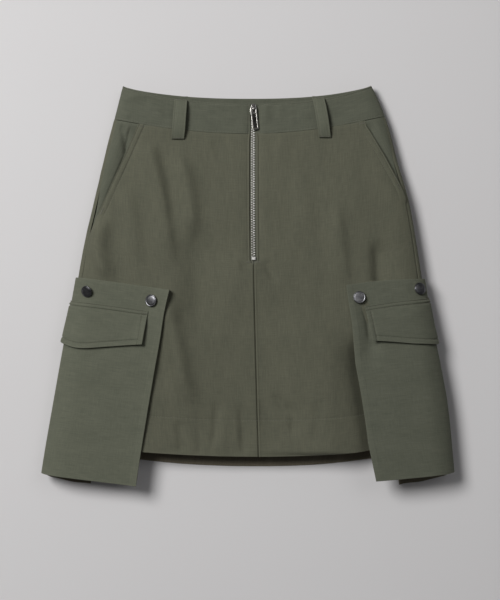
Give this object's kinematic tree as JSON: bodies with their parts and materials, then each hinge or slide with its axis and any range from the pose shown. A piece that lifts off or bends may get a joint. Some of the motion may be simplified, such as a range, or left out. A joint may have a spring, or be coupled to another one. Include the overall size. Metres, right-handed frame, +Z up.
{
  "type": "cargo utility skirt",
  "caption": "Women's A-line mini skirt in olive cotton twill with a front zip, belt loops, slant pockets and cargo panels snapped round its sides, laid flat.",
  "frame": {"origin": "the middle of the footprint, on the surface that the skirt lies on", "axes": "+Z up out of the surface, +Y towards the waist and +X to the right as seen from above, with the skirt's front upwards"},
  "size_m": [0.5258, 0.5097, 0.0494],
  "materials": {
    "twill": "matte cotton twill, olive drab",
    "zip_tape": "matte woven tape, olive drab",
    "nickel": "nickel silver, worn bright",
    "gunmetal": "black nickel plated brass, satin"
  },
  "bodies": {
    "skirt": {"front_left": "twill", "front_right": "twill", "pocket_facing_left": "twill", "pocket_facing_right": "twill", "back": "twill", "waistband_front_left": "twill", "waistband_front_right": "twill", "waistband_back": "twill", "belt_loop_front_left": "twill", "belt_loop_front_right": "twill", "belt_loop_back_left": "twill", "belt_loop_back_centre": "twill", "belt_loop_back_right": "twill", "cargo_panel_left": "twill", "cargo_panel_right": "twill", "cargo_flap_left": "twill", "cargo_flap_right": "twill", "zip_tape_left": "zip_tape", "zip_tape_right": "zip_tape", "zip_chain": "nickel", "zip_bottom_stop": "nickel", "zip_slider": "nickel", "snap_left_front": "gunmetal", "snap_left_side": "gunmetal", "snap_left_back": "gunmetal", "snap_right_front": "gunmetal", "snap_right_side": "gunmetal", "snap_right_back": "gunmetal"},
    "pull": {"zip_pull": "nickel"}
  },
  "joints": [
    {"name": "pull_swing", "type": "hinge", "parent": "skirt", "child": "pull", "pos_m": [0.00137, 0.22404, 0.02667], "axis": [-0.9903, -0.1381, 0.0171], "range_deg": [0, 160]}
  ]
}
